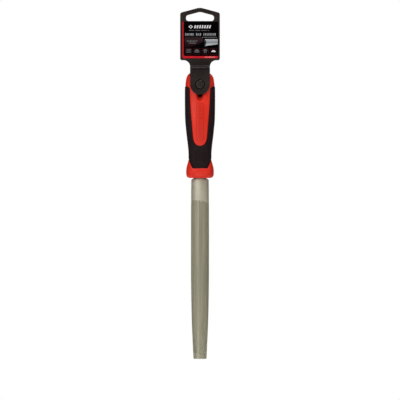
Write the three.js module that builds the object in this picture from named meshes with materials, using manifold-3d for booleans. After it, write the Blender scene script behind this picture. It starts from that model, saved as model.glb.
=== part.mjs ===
// A half-round hand file with a two-colour handle, held by its retail hanger.
// Millimetres, +Z up. The origin is the top of the peg slot in the hanger, midway through the plate.
// The file hangs below it, with the round side of the blade facing -Y and the flat side facing +Y.

import * as THREE from 'three';
import { mergeVertices } from 'three/addons/utils/BufferGeometryUtils.js';
import Module from 'manifold-3d';

const wasm = await Module();
wasm.setup();

// ---------------------------------------------------------------- driving dimensions

// Space between pieces that touch in the real object.
const GAP = 0.3;
const LABEL_GAP = 0.1;

// Hanger plate.
const PLATE_HALF_WIDTH = 22.05;
const PLATE_HALF_THICKNESS = 1.2;
const PLATE_TOP = 5.0;
const PLATE_BOTTOM = -53.8;
const PLATE_CORNER = 2.2;
const ROOF_SLOPE = 0.268;

// Peg slot, a flattened triangle with round ends.
const SLOT_HALF_WIDTH = 15.55;
const SLOT_BOTTOM = -10.1;
const SLOT_END_RADIUS = 3.4;

// Label and the shallow recess that it lies in.
const LABEL_HALF_WIDTH = 20.15;
const LABEL_TOP = -11.0;
const LABEL_BOTTOM = -51.6;
const LABEL_THICKNESS = 0.4;
const LABEL_CORNER = 0.8;
const RECESS_MARGIN = 0.25;
const RECESS_DEPTH = LABEL_THICKNESS + 2 * LABEL_GAP;

// Neck and yoke of the hanger.
const NECK_FILLET = 7.0;
const LEG_HALF_WIDTH = 11.08;
const LEG_INNER = 11.3;
const LEG_OUTER = 13.1;
const REAR_LEG_LONGER = 4.6;
const YOKE_CEILING = -62.4;
const YOKE_CORNER = 3.5;
const NECK_FLARE_TOP = -58.4;
const NECK_FLARE_RADIUS = 1.8;
const SHOULDER_TOP = -61.0;
const SHOULDER_RADIUS = 2.0;
const CREASE_TOP = -63.1;
const CREASE_BOTTOM = -64.3;
const CREASE_DEPTH = 0.5;

// Snap rivet through the yoke and the handle.
const RIVET_Z = -80.9;
const RIVET_SHANK_RADIUS = 3.25;
const RIVET_HEAD_RADIUS = 4.55;
const RIVET_WELL_RADIUS = 5.85;
const RIVET_WELL_DEPTH = 0.8;
const RIVET_HEAD_TOP = 13.9;
const RIVET_HEAD_EDGE = 13.3;
const RIVET_PIN_RADIUS = 1.8;
const RIVET_BARB_RADIUS = 2.2;
const RIVET_BORE_RADIUS = 2.4;
const RIVET_LIP_RADIUS = 2.0;
const RIVET_HEAD_ROUNDING = 0.7;
const RIVET_SOCKET_MOUTH = -8.6;
const RIVET_SOCKET_FLOOR = 10.4;
const RIVET_LIP_END = -7.0;
const RIVET_PIN_ROOT = -9.2;
const RIVET_PIN_TIP = 9.6;

// Handle. The long distances are measured down from the butt.
const BUTT_Z = -67.9;
const HANDLE_LENGTH = 116.7;
const GRIP_PROUD = 0.5;
const GRIP_DEPTH = 2.5;
const SECTION_POWER = 2.25;
const SECTION_SIDES = 32;

// Outline of the soft grip from the front. Heights are on the Z axis.
const GRIP_ARM_TOP = -82.9;
const GRIP_ARM_CORNER = 16.4;
const GRIP_BEND = 14.2;
const GRIP_INNER_TOP = -85.5;
const WINDOW_TOP_HALF_WIDTH = 11.8;
const WINDOW_LOW_HALF_WIDTH = 8.1;
const WINDOW_LOW = -140;
const WINDOW_BOTTOM = -149.2;
const GRIP_WAIST = -163.8;
const GRIP_WAIST_HALF_WIDTH = 12.9;
const TONGUE_HALF_WIDTH = 9.6;
const TONGUE_BOTTOM = -173.2;
const TONGUE_CORNER = 2.4;

// Hang slot through the handle.
const HANG_SLOT_TOP = RIVET_Z + RIVET_SHANK_RADIUS + GAP;
const HANG_SLOT_TOP_RADIUS = 4.5;
const HANG_SLOT_BOTTOM = -95.3;
const HANG_SLOT_BOTTOM_RADIUS = 2.3;
const HANG_SLOT_MOUTH_DEPTH = 2.6;
const HANG_SLOT_MOUTH_WIDEN = 1.38;
const HANG_SLOT_MOUTH_LENGTHEN = 1.28;

// Blade. The long distances are measured down from the shoulder.
const SHOULDER_Z = -185.6;
const BLADE_LENGTH = 200;
const BLADE_BACK = 2.4;
const EDGE_THICKNESS = 0.6;
const ARC_SIDES = 16;

// Tang, a flat taper driven up into the handle.
const TANG_LENGTH = 55;
const TANG_HALF_WIDTH = 6.4;
const TANG_END_HALF_WIDTH = 2.6;
const TANG_FRONT = -1.9;
const TANG_BACK = 2.1;
const TANG_OVERLAP = 4;

// [distance from the butt, half width, half depth] of the hard core.
const CORE_STATIONS = [
  [0, 10.2, 4.8],
  [0.4, 11.5, 5.9],
  [1.2, 12.6, 7.1],
  [2.2, 13.5, 8.0],
  [3.6, 14.35, 8.8],
  [5.3, 15.0, 9.3],
  [8.5, 15.65, 9.8],
  [14, 16.2, 10.2],
  [22, 16.35, 10.45],
  [31, 16.35, 10.6],
  [43, 16.24, 12.1],
  [52, 16.0, 12.7],
  [62, 15.15, 12.2],
  [72, 14.05, 11.3],
  [82, 12.85, 10.4],
  [90, 12.25, 9.9],
  [94, 12.4, 10.0],
  [97.5, 13.0, 10.5],
  [101, 13.95, 11.3],
  [105.3, 15.0, 12.3],
  [109.3, 15.36, 12.6],
  [112.2, 15.32, 12.5],
  [114.2, 14.95, 12.1],
  [115.6, 14.15, 11.3],
  [HANDLE_LENGTH, 12.3, 9.7],
];

// The same for the soft grip, which stands proud of the core and then dips below the bolster.
const GRIP_DIP = 90;
const GRIP_DIP_STATIONS = [
  [97, 12.8, 10.45],
  [106, 13.4, 11.3],
  [HANDLE_LENGTH, 13.4, 11.3],
];

// [distance from the shoulder, half width, thickness] of the blade.
const BLADE_STATIONS = [
  [-0.9, 6.9, 4.8],
  [0, 8.5, 5.2],
  [0.9, 9.4, 5.6],
  [2, 9.7, 5.8],
  [20, 9.85, 5.8],
  [42, 10.0, 5.8],
  [100, 10.02, 5.8],
  [126, 9.78, 5.7],
  [148, 9.42, 5.5],
  [164, 8.92, 5.1],
  [182, 8.12, 4.4],
  [193, 7.6, 3.9],
  [BLADE_LENGTH, 7.2, 3.5],
];

// ---------------------------------------------------------------- solids and shapes

function solidOf(geometry) {
  const bare = geometry.clone();
  bare.deleteAttribute('normal');
  bare.deleteAttribute('uv');
  const merged = mergeVertices(bare, 1e-5);
  return new wasm.Manifold(new wasm.Mesh({
    numProp: 3,
    vertProperties: new Float32Array(merged.attributes.position.array),
    triVerts: new Uint32Array(merged.index.array),
  }));
}

function geometryOf(solid) {
  const mesh = solid.getMesh();
  const geometry = new THREE.BufferGeometry();
  geometry.setAttribute('position', new THREE.BufferAttribute(mesh.vertProperties, 3));
  geometry.setIndex(new THREE.BufferAttribute(mesh.triVerts, 1));
  geometry.computeVertexNormals();
  return geometry;
}

// Extrude a shape drawn in X and Z from one Y to another.
function alongY(shape, fromY, toY, curveSegments = 12) {
  const geometry = new THREE.ExtrudeGeometry(shape, {
    depth: toY - fromY,
    bevelEnabled: false,
    curveSegments,
  });
  geometry.rotateX(Math.PI / 2);
  geometry.translate(0, toY, 0);
  return solidOf(geometry);
}

// Extrude a shape drawn in Y and Z across the width, from -halfWidth to halfWidth.
function acrossX(shape, halfWidth, curveSegments = 8) {
  const geometry = new THREE.ExtrudeGeometry(shape, {
    depth: 2 * halfWidth,
    bevelEnabled: false,
    curveSegments,
  });
  const turn = new THREE.Matrix4().makeBasis(
    new THREE.Vector3(0, 1, 0),
    new THREE.Vector3(0, 0, 1),
    new THREE.Vector3(1, 0, 0),
  );
  geometry.applyMatrix4(turn);
  geometry.translate(-halfWidth, 0, 0);
  return solidOf(geometry);
}

// Sweep one outline through the stations: place() gives each outline point its position there.
function loft(outline, stations, place) {
  const geometry = new THREE.ExtrudeGeometry(new THREE.Shape(outline), {
    depth: stations.length - 1,
    steps: stations.length - 1,
    bevelEnabled: false,
  });
  const position = geometry.attributes.position;
  for (let i = 0; i < position.count; i += 1) {
    const station = stations[Math.round(position.getZ(i))];
    position.setXYZ(i, ...place(position.getX(i), position.getY(i), station));
  }
  return solidOf(geometry);
}

// Turn a profile of [radius, height] about the rivet's axis; height runs along +Y.
function turned(profile, sides = 28) {
  const points = profile.map(([radius, height]) => new THREE.Vector2(radius, height));
  const geometry = new THREE.LatheGeometry(points, sides);
  geometry.translate(0, 0, RIVET_Z);
  return solidOf(geometry);
}

function mirrorY(solid) {
  return solid.mirror([0, 1, 0]);
}

// A rectangle with round corners, from its left bottom to its right top corner.
function roundedRectangle(left, bottom, right, top, radius) {
  const shape = new THREE.Shape();
  shape.absarc(right - radius, top - radius, radius, 0, Math.PI / 2);
  shape.absarc(left + radius, top - radius, radius, Math.PI / 2, Math.PI);
  shape.absarc(left + radius, bottom + radius, radius, Math.PI, 1.5 * Math.PI);
  shape.absarc(right - radius, bottom + radius, radius, 1.5 * Math.PI, 2 * Math.PI);
  shape.closePath();
  return shape;
}

// Two circles one above the other, the large one on top, and the tangents that join them.
function teardrop(top, topRadius, bottom, bottomRadius) {
  const topCentre = top - topRadius;
  const bottomCentre = bottom + bottomRadius;
  const lean = Math.asin((topRadius - bottomRadius) / (topCentre - bottomCentre));
  const shape = new THREE.Shape();
  shape.absarc(0, topCentre, topRadius, -lean, Math.PI + lean);
  shape.absarc(0, bottomCentre, bottomRadius, Math.PI + lean, 2 * Math.PI - lean);
  shape.closePath();
  return shape;
}

// A smooth curve through rows of [x, values...] that never overshoots between two rows.
function smooth(rows, x, column) {
  const last = rows.length - 1;
  const slope = (i) => (rows[i + 1][column] - rows[i][column]) / (rows[i + 1][0] - rows[i][0]);
  const tangent = (i) => {
    if (i === 0) return slope(0);
    if (i === last) return slope(last - 1);
    const before = slope(i - 1);
    const after = slope(i);
    return before * after <= 0 ? 0 : (2 * before * after) / (before + after);
  };
  let i = 0;
  while (i < last - 1 && x > rows[i + 1][0]) i += 1;
  const width = rows[i + 1][0] - rows[i][0];
  const t = (x - rows[i][0]) / width;
  const start = (1 + 2 * t) * (1 - t) ** 2 * rows[i][column] + t * (1 - t) ** 2 * width * tangent(i);
  const end = t * t * (3 - 2 * t) * rows[i + 1][column] - t * t * (1 - t) * width * tangent(i + 1);
  return start + end;
}

// The stations of a table, with more of them between rows that lie far apart.
function stationsOf(rows, spacing) {
  const stations = [];
  for (let i = 0; i < rows.length - 1; i += 1) {
    const parts = Math.max(1, Math.round((rows[i + 1][0] - rows[i][0]) / spacing));
    for (let k = 0; k < parts; k += 1) {
      stations.push(rows[i][0] + ((rows[i + 1][0] - rows[i][0]) * k) / parts);
    }
  }
  stations.push(rows[rows.length - 1][0]);
  return stations;
}

// ---------------------------------------------------------------- hanger

function hangerFront() {
  const shape = new THREE.Shape();
  const eaves = PLATE_TOP - ROOF_SLOPE * PLATE_HALF_WIDTH;
  const roof = PLATE_CORNER;
  const filletX = LEG_HALF_WIDTH + NECK_FILLET;
  const filletZ = PLATE_BOTTOM - NECK_FILLET;
  const side = PLATE_HALF_WIDTH;
  shape.moveTo(0, PLATE_TOP);
  shape.lineTo(-side + roof, eaves + ROOF_SLOPE * roof);
  shape.quadraticCurveTo(-side, eaves, -side, eaves - roof);
  shape.absarc(-side + PLATE_CORNER, PLATE_BOTTOM + PLATE_CORNER, PLATE_CORNER, Math.PI, 1.5 * Math.PI);
  shape.absarc(-filletX, filletZ, NECK_FILLET, Math.PI / 2, 0, true);
  shape.absarc(0, RIVET_Z, LEG_HALF_WIDTH, Math.PI, 2 * Math.PI);
  shape.absarc(filletX, filletZ, NECK_FILLET, Math.PI, Math.PI / 2, true);
  shape.absarc(side - PLATE_CORNER, PLATE_BOTTOM + PLATE_CORNER, PLATE_CORNER, 1.5 * Math.PI, 2 * Math.PI);
  shape.lineTo(side, eaves - roof);
  shape.quadraticCurveTo(side, eaves, side - roof, eaves + ROOF_SLOPE * roof);
  shape.closePath();
  return shape;
}

// The rear leg's round end, which hangs lower than the front leg's.
function rearLegEnd() {
  const shape = new THREE.Shape();
  shape.moveTo(LEG_HALF_WIDTH, RIVET_Z);
  shape.lineTo(-LEG_HALF_WIDTH, RIVET_Z);
  shape.absarc(0, RIVET_Z - REAR_LEG_LONGER, LEG_HALF_WIDTH, Math.PI, 2 * Math.PI);
  shape.closePath();
  return shape;
}

// The yoke seen from the side: a thin neck that spreads over a ceiling into two legs.
function hangerSide() {
  const bottom = RIVET_Z - LEG_HALF_WIDTH - REAR_LEG_LONGER - 1;
  const top = PLATE_TOP + 1;
  const creaseMiddle = (CREASE_TOP + CREASE_BOTTOM) / 2;
  const shape = new THREE.Shape();
  const half = (sign) => [
    [sign * PLATE_HALF_THICKNESS, NECK_FLARE_TOP],
    [sign * PLATE_HALF_THICKNESS, NECK_FLARE_TOP - NECK_FLARE_RADIUS],
    [sign * (PLATE_HALF_THICKNESS + NECK_FLARE_RADIUS), NECK_FLARE_TOP - NECK_FLARE_RADIUS - 0.1],
    [sign * (LEG_OUTER - SHOULDER_RADIUS), SHOULDER_TOP],
    [sign * LEG_OUTER, SHOULDER_TOP],
    [sign * LEG_OUTER, SHOULDER_TOP - SHOULDER_RADIUS],
  ];
  const left = half(-1);
  const right = half(1);
  const corner = LEG_INNER - YOKE_CORNER;
  const cornerZ = YOKE_CEILING - YOKE_CORNER;
  shape.moveTo(PLATE_HALF_THICKNESS, top);
  shape.lineTo(-PLATE_HALF_THICKNESS, top);
  shape.lineTo(...left[0]);
  shape.quadraticCurveTo(...left[1], ...left[2]);
  shape.lineTo(...left[3]);
  shape.quadraticCurveTo(...left[4], ...left[5]);
  shape.lineTo(-LEG_OUTER, CREASE_TOP);
  shape.lineTo(-LEG_OUTER + CREASE_DEPTH, creaseMiddle);
  shape.lineTo(-LEG_OUTER, CREASE_BOTTOM);
  shape.lineTo(-LEG_OUTER, bottom);
  shape.lineTo(-LEG_INNER, bottom);
  shape.absarc(-corner, cornerZ, YOKE_CORNER, Math.PI, Math.PI / 2, true);
  shape.absarc(corner, cornerZ, YOKE_CORNER, Math.PI / 2, 0, true);
  shape.lineTo(LEG_INNER, bottom);
  shape.lineTo(LEG_OUTER, bottom);
  shape.lineTo(LEG_OUTER, CREASE_BOTTOM);
  shape.lineTo(LEG_OUTER - CREASE_DEPTH, creaseMiddle);
  shape.lineTo(LEG_OUTER, CREASE_TOP);
  shape.lineTo(...right[5]);
  shape.quadraticCurveTo(...right[4], ...right[3]);
  shape.lineTo(...right[2]);
  shape.quadraticCurveTo(...right[1], ...right[0]);
  shape.closePath();
  return shape;
}

function pegSlot() {
  const shape = new THREE.Shape();
  const eaveX = SLOT_HALF_WIDTH - SLOT_END_RADIUS;
  const eaveZ = -ROOF_SLOPE * eaveX;
  const middle = (eaveZ + SLOT_BOTTOM) / 2;
  shape.moveTo(0, 0);
  shape.lineTo(-eaveX, eaveZ);
  shape.quadraticCurveTo(-SLOT_HALF_WIDTH, eaveZ - 0.6, -SLOT_HALF_WIDTH, middle);
  shape.quadraticCurveTo(-SLOT_HALF_WIDTH, SLOT_BOTTOM, -eaveX, SLOT_BOTTOM);
  shape.lineTo(eaveX, SLOT_BOTTOM);
  shape.quadraticCurveTo(SLOT_HALF_WIDTH, SLOT_BOTTOM, SLOT_HALF_WIDTH, middle);
  shape.quadraticCurveTo(SLOT_HALF_WIDTH, eaveZ - 0.6, eaveX, eaveZ);
  shape.closePath();
  return shape;
}

function labelShape(margin) {
  return roundedRectangle(
    -LABEL_HALF_WIDTH - margin,
    LABEL_BOTTOM - margin,
    LABEL_HALF_WIDTH + margin,
    LABEL_TOP + margin,
    LABEL_CORNER + margin,
  );
}

function makeHanger() {
  const reach = LEG_OUTER + 1;
  const front = alongY(hangerFront(), -reach, reach).add(alongY(rearLegEnd(), 0, reach));
  const side = acrossX(hangerSide(), PLATE_HALF_WIDTH + 1);
  const recessFloor = PLATE_HALF_THICKNESS - RECESS_DEPTH;
  const recess = alongY(labelShape(RECESS_MARGIN), recessFloor, reach, 4);
  const holeRadius = RIVET_SHANK_RADIUS + GAP;
  const wellFloor = LEG_OUTER - RIVET_WELL_DEPTH;
  const hole = turned([[0, -reach], [holeRadius, -reach], [holeRadius, reach], [0, reach]]);
  const wellRadius = RIVET_WELL_RADIUS;
  const well = turned([[0, wellFloor], [wellRadius, wellFloor], [wellRadius, reach], [0, reach]]);
  return front
    .intersect(side)
    .subtract(alongY(pegSlot(), -reach, reach, 8))
    .subtract(recess)
    .subtract(mirrorY(recess))
    .subtract(hole)
    .subtract(well)
    .subtract(mirrorY(well));
}

function makeLabel() {
  const face = PLATE_HALF_THICKNESS - LABEL_GAP;
  return alongY(labelShape(0), face - LABEL_THICKNESS, face, 4);
}

// ---------------------------------------------------------------- snap rivet

const HEAD_UNDERSIDE = LEG_OUTER - RIVET_WELL_DEPTH + LABEL_GAP;

// The domed head, from its rim to the middle, for either half. It points to +Y.
function headProfile() {
  return [
    [RIVET_HEAD_RADIUS, HEAD_UNDERSIDE],
    [RIVET_HEAD_RADIUS, RIVET_HEAD_EDGE - RIVET_HEAD_ROUNDING / 2],
    [RIVET_HEAD_RADIUS - RIVET_HEAD_ROUNDING / 3, RIVET_HEAD_EDGE],
    [RIVET_HEAD_RADIUS - RIVET_HEAD_ROUNDING, RIVET_HEAD_EDGE + RIVET_HEAD_ROUNDING / 3],
    [RIVET_HEAD_RADIUS / 2, RIVET_HEAD_TOP - 0.1],
    [0, RIVET_HEAD_TOP],
  ];
}

// The rear half: a head and a tube with a lip inside its mouth.
function makeSocketHalf() {
  return turned([
    [0, RIVET_SOCKET_FLOOR],
    [RIVET_BORE_RADIUS, RIVET_SOCKET_FLOOR],
    [RIVET_BORE_RADIUS, RIVET_LIP_END + 0.4],
    [RIVET_LIP_RADIUS, RIVET_LIP_END],
    [RIVET_LIP_RADIUS, RIVET_SOCKET_MOUTH + 0.5],
    [RIVET_BORE_RADIUS, RIVET_SOCKET_MOUTH],
    [RIVET_SHANK_RADIUS, RIVET_SOCKET_MOUTH],
    [RIVET_SHANK_RADIUS, HEAD_UNDERSIDE],
    ...headProfile(),
  ]);
}

// The front half: a head, a short collar and a pin with a barb that snaps past the lip.
function makePinHalf() {
  const head = headProfile().map(([radius, height]) => [radius, -height]).reverse();
  const barb = RIVET_LIP_END + 1.0;
  return turned([
    ...head,
    [RIVET_SHANK_RADIUS, -HEAD_UNDERSIDE],
    [RIVET_SHANK_RADIUS, RIVET_PIN_ROOT],
    [RIVET_PIN_RADIUS, RIVET_PIN_ROOT],
    [RIVET_PIN_RADIUS, barb],
    [RIVET_BARB_RADIUS, barb],
    [RIVET_BARB_RADIUS, barb + 0.5],
    [RIVET_PIN_RADIUS, barb + 2.5],
    [RIVET_PIN_RADIUS, RIVET_PIN_TIP - 1],
    [RIVET_PIN_RADIUS / 2, RIVET_PIN_TIP],
    [0, RIVET_PIN_TIP],
  ]);
}

// ---------------------------------------------------------------- handle

// A closed oval, a little squarer than an ellipse, inside a unit square.
function ovalOutline() {
  const points = [];
  for (let i = 0; i < SECTION_SIDES; i += 1) {
    const angle = (2 * Math.PI * i) / SECTION_SIDES;
    const c = Math.cos(angle);
    const s = Math.sin(angle);
    const x = Math.sign(c) * Math.abs(c) ** (2 / SECTION_POWER);
    const y = Math.sign(s) * Math.abs(s) ** (2 / SECTION_POWER);
    points.push(new THREE.Vector2(x, y));
  }
  return points;
}

// A handle body through a table of stations, made larger on all sides by grow.
function handleBody(rows, grow, spacing = 9) {
  const stations = stationsOf(rows, spacing);
  return loft(ovalOutline(), stations, (u, v, station) => [
    u * (smooth(rows, station, 1) + grow),
    -v * (smooth(rows, station, 2) + grow),
    BUTT_Z - station,
  ]);
}

function gripRows() {
  const upper = CORE_STATIONS.filter(([distance]) => distance <= GRIP_DIP);
  const proud = upper.map(([distance, width, depth]) => [distance, width + GRIP_PROUD, depth + GRIP_PROUD]);
  return [...proud, ...GRIP_DIP_STATIONS];
}

// The grip seen from the front: two arms beside an open-topped window, joined below it.
// Every edge moves outwards by grow, into the window and the bolster.
function gripFront(grow) {
  const outside = 25;
  const cutAngle = 0.5;
  const armTop = GRIP_ARM_TOP + grow;
  const innerTop = GRIP_INNER_TOP + grow;
  const high = WINDOW_TOP_HALF_WIDTH - grow;
  const low = WINDOW_LOW_HALF_WIDTH - grow;
  const bottom = WINDOW_BOTTOM + grow;
  const bottomPull = low / 2;
  const waist = GRIP_WAIST - grow;
  const waistSide = GRIP_WAIST_HALF_WIDTH + grow;
  const tongue = TONGUE_BOTTOM - grow;
  const tongueSide = TONGUE_HALF_WIDTH + grow;
  const tongueEnd = tongueSide - TONGUE_CORNER;
  const thirds = [2, 1].map((k) => WINDOW_LOW + ((innerTop - WINDOW_LOW) * k) / 3);
  const roundStart = (WINDOW_LOW + 2 * bottom) / 3;
  const shape = new THREE.Shape();
  shape.moveTo(outside, armTop);
  shape.lineTo(GRIP_ARM_CORNER, armTop);
  shape.quadraticCurveTo(GRIP_BEND, armTop, high, innerTop);
  shape.bezierCurveTo(high - 0.3, thirds[0], low + 1.6, thirds[1], low, WINDOW_LOW);
  shape.bezierCurveTo(low - 0.9, roundStart, bottomPull, bottom, 0, bottom);
  shape.bezierCurveTo(-bottomPull, bottom, 0.9 - low, roundStart, -low, WINDOW_LOW);
  shape.bezierCurveTo(-low - 1.6, thirds[1], 0.3 - high, thirds[0], -high, innerTop);
  shape.quadraticCurveTo(-GRIP_BEND, armTop, -GRIP_ARM_CORNER, armTop);
  shape.lineTo(-outside, armTop);
  shape.lineTo(-outside, waist + cutAngle);
  shape.lineTo(-waistSide, waist);
  shape.lineTo(-tongueSide, tongue + TONGUE_CORNER);
  shape.quadraticCurveTo(-tongueSide + 1, tongue, -tongueEnd, tongue);
  shape.lineTo(tongueEnd, tongue);
  shape.quadraticCurveTo(tongueSide - 1, tongue, tongueSide, tongue + TONGUE_CORNER);
  shape.lineTo(waistSide, waist);
  shape.lineTo(outside, waist + cutAngle);
  shape.closePath();
  return shape;
}

// The tang's outline from the front, with clearance added for the socket.
function tangShape(clearance) {
  const top = SHOULDER_Z + TANG_LENGTH + clearance;
  const bottom = SHOULDER_Z - TANG_OVERLAP;
  const shape = new THREE.Shape();
  shape.moveTo(TANG_HALF_WIDTH + clearance, bottom);
  shape.lineTo(TANG_HALF_WIDTH + clearance, SHOULDER_Z + 1);
  shape.lineTo(TANG_END_HALF_WIDTH + clearance, top - 1.5);
  shape.lineTo(TANG_END_HALF_WIDTH - 1 + clearance, top);
  shape.lineTo(-TANG_END_HALF_WIDTH + 1 - clearance, top);
  shape.lineTo(-TANG_END_HALF_WIDTH - clearance, top - 1.5);
  shape.lineTo(-TANG_HALF_WIDTH - clearance, SHOULDER_Z + 1);
  shape.lineTo(-TANG_HALF_WIDTH - clearance, bottom);
  shape.closePath();
  return shape;
}

// The straight slot and, on the front, a mouth that opens towards the surface.
function hangSlot() {
  const drop = teardrop(HANG_SLOT_TOP, HANG_SLOT_TOP_RADIUS, HANG_SLOT_BOTTOM, HANG_SLOT_BOTTOM_RADIUS);
  const reach = LEG_OUTER + 1;
  const floor = smooth(CORE_STATIONS, BUTT_Z - RIVET_Z, 2) - HANG_SLOT_MOUTH_DEPTH;
  const pivot = HANG_SLOT_TOP - HANG_SLOT_TOP_RADIUS;
  const throat = [floor, 1, 1];
  const surface = [floor + HANG_SLOT_MOUTH_DEPTH, HANG_SLOT_MOUTH_WIDEN, HANG_SLOT_MOUTH_LENGTHEN];
  const beyond = [reach, 2 * HANG_SLOT_MOUTH_WIDEN - 1, 2 * HANG_SLOT_MOUTH_LENGTHEN - 1];
  const outline = drop.getPoints(10);
  const mouth = loft(outline, [throat, surface, beyond], (x, z, [depth, across, along]) => [
    -x * across,
    depth,
    pivot + (z - pivot) * along,
  ]);
  return { through: alongY(drop, -reach, reach, 10), mouth };
}

function makeCore() {
  const body = handleBody(CORE_STATIONS, 0);
  const heart = handleBody(CORE_STATIONS, -GRIP_DEPTH - GAP);
  const pocket = alongY(gripFront(GAP), -30, 30).subtract(heart);
  const slot = hangSlot();
  const socket = alongY(tangShape(GAP), TANG_FRONT - GAP, TANG_BACK + GAP);
  return body
    .subtract(pocket)
    .subtract(slot.through)
    .subtract(slot.mouth)
    .subtract(mirrorY(slot.mouth))
    .subtract(socket);
}

function makeGrip() {
  const skin = handleBody(gripRows(), 0);
  const heart = handleBody(CORE_STATIONS, -GRIP_DEPTH);
  return skin.intersect(alongY(gripFront(0), -30, 30)).subtract(heart);
}

// ---------------------------------------------------------------- blade

// The section of the blade: v is 0 on the flat side and 1 on the round one.
function bladeOutline() {
  const points = [new THREE.Vector2(-1, 0), new THREE.Vector2(1, 0)];
  for (let i = 0; i <= ARC_SIDES; i += 1) {
    const angle = Math.PI * (i / ARC_SIDES - 0.5);
    points.push(new THREE.Vector2(-Math.sin(angle), 1));
  }
  return points;
}

// Height of a circular arc over its chord, at x from the middle.
function arcHeight(x, halfChord, rise) {
  const radius = (halfChord ** 2 + rise ** 2) / (2 * rise);
  return Math.sqrt(radius ** 2 - x ** 2) - (radius - rise);
}

function makeBlade() {
  const stations = stationsOf(BLADE_STATIONS, 14);
  const body = loft(bladeOutline(), stations, (u, v, station) => {
    const halfWidth = smooth(BLADE_STATIONS, station, 1);
    const thickness = smooth(BLADE_STATIONS, station, 2);
    const bulge = EDGE_THICKNESS + arcHeight(u * halfWidth, halfWidth, thickness - EDGE_THICKNESS);
    return [u * halfWidth, BLADE_BACK - (v > 0 ? bulge : 0), SHOULDER_Z - station];
  });
  return body.add(alongY(tangShape(0), TANG_FRONT, TANG_BACK));
}

// ---------------------------------------------------------------- assembly

const steel = { color: 0xa9a48f, roughness: 0.42, metalness: 0.9 };
const redPlastic = { color: 0xd0302a, roughness: 0.35, metalness: 0 };
const softGrip = { color: 0x1e1819, roughness: 0.62, metalness: 0 };
const blackPlastic = { color: 0x282221, roughness: 0.48, metalness: 0 };
const printedCard = { color: 0x1a1718, roughness: 0.4, metalness: 0 };

function named(name, solid, finish) {
  const mesh = new THREE.Mesh(geometryOf(solid), new THREE.MeshStandardMaterial(finish));
  mesh.name = name;
  return mesh;
}

const hangerGroup = new THREE.Group();
hangerGroup.add(named('hanger', makeHanger(), blackPlastic));
hangerGroup.add(named('label_back', makeLabel(), printedCard));
hangerGroup.add(named('label_front', mirrorY(makeLabel()), printedCard));

const rivetGroup = new THREE.Group();
rivetGroup.add(named('rivet_pin_half', makePinHalf(), blackPlastic));
rivetGroup.add(named('rivet_socket_half', makeSocketHalf(), blackPlastic));

const fileGroup = new THREE.Group();
fileGroup.add(named('file_blade', makeBlade(), steel));
fileGroup.add(named('handle_core', makeCore(), redPlastic));
fileGroup.add(named('grip_sleeve', makeGrip(), softGrip));

const part = new THREE.Group();
part.add(hangerGroup, rivetGroup, fileGroup);

export default part;
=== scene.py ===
"""A half-round hand file with a two-colour handle, hanging by a snap rivet from its retail hanger."""
import math

import bmesh
import bpy
import numpy as np
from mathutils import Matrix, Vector


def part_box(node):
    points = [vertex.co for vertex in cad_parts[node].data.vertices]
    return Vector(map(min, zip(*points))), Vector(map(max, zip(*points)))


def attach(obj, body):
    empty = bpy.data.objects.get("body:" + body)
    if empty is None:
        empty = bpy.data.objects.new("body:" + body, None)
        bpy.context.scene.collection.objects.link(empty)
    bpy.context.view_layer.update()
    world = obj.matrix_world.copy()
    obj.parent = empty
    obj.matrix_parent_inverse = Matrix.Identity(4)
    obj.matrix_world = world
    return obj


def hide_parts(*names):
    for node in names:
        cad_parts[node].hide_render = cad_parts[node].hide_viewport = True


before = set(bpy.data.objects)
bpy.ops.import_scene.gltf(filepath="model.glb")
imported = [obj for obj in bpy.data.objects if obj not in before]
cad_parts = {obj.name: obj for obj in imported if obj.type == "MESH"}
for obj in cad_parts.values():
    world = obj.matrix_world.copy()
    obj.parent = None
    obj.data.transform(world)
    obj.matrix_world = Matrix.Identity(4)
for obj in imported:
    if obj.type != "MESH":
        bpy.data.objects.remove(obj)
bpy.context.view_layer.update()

MM = 0.001


# ---- places taken from the frame

def box_mm(node):
    low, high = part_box(node)
    return np.array(low) / MM, np.array(high) / MM


hanger_low, hanger_high = box_mm("hanger")
label_low, label_high = box_mm("label_front")
core_low, core_high = box_mm("handle_core")
grip_low, grip_high = box_mm("grip_sleeve")
blade_low, blade_high = box_mm("file_blade")
pin_low, pin_high = box_mm("rivet_pin_half")
socket_high = box_mm("rivet_socket_half")[1]

BUTT = core_high[2]
HANDLE_LENGTH = core_high[2] - core_low[2]
RIVET = (pin_low[2] + pin_high[2]) / 2
TIP = blade_low[2]
BLADE_BACK = blade_high[1]
BLADE_LENGTH = 200.0
SHOULDER = TIP + BLADE_LENGTH
PLATE_HALF_WIDTH = hanger_high[0]
PLATE_TOP = hanger_high[2]
LEG_OUTER = hanger_high[1]
LEG_THICKNESS = 1.8
LEG_INNER = LEG_OUTER - LEG_THICKNESS
LEG_HALF_WIDTH = 11.08
REAR_LEG_LONGER = RIVET - LEG_HALF_WIDTH - hanger_low[2]


# ---- outlines, in millimetres

def arc(centre_x, centre_z, radius, start, end, count=10):
    angles = np.radians(np.linspace(start, end, count))
    return [(centre_x + radius * math.cos(a), centre_z + radius * math.sin(a)) for a in angles]


def bezier(a, b, c, d, count):
    a, b, c, d = map(np.array, (a, b, c, d))
    t = np.linspace(0, 1, count)[:, None]
    return ((1 - t) ** 3 * a + 3 * t * (1 - t) ** 2 * b + 3 * t * t * (1 - t) * c + t ** 3 * d).tolist()


def quadratic(a, b, c, count=8):
    a, b, c = map(np.array, (a, b, c))
    t = np.linspace(0, 1, count)[:, None]
    return ((1 - t) ** 2 * a + 2 * t * (1 - t) * b + t * t * c).tolist()


def mirrored(points):
    """The points reflected in the middle line, in the opposite order."""
    return [(-x, z) for x, z in points[::-1]]


def clean(points):
    """The outline as an array, without points that repeat the one before."""
    points = np.array(points, float)
    step = np.linalg.norm(points - np.roll(points, 1, axis=0), axis=1)
    return points[step > 1e-4]


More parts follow.
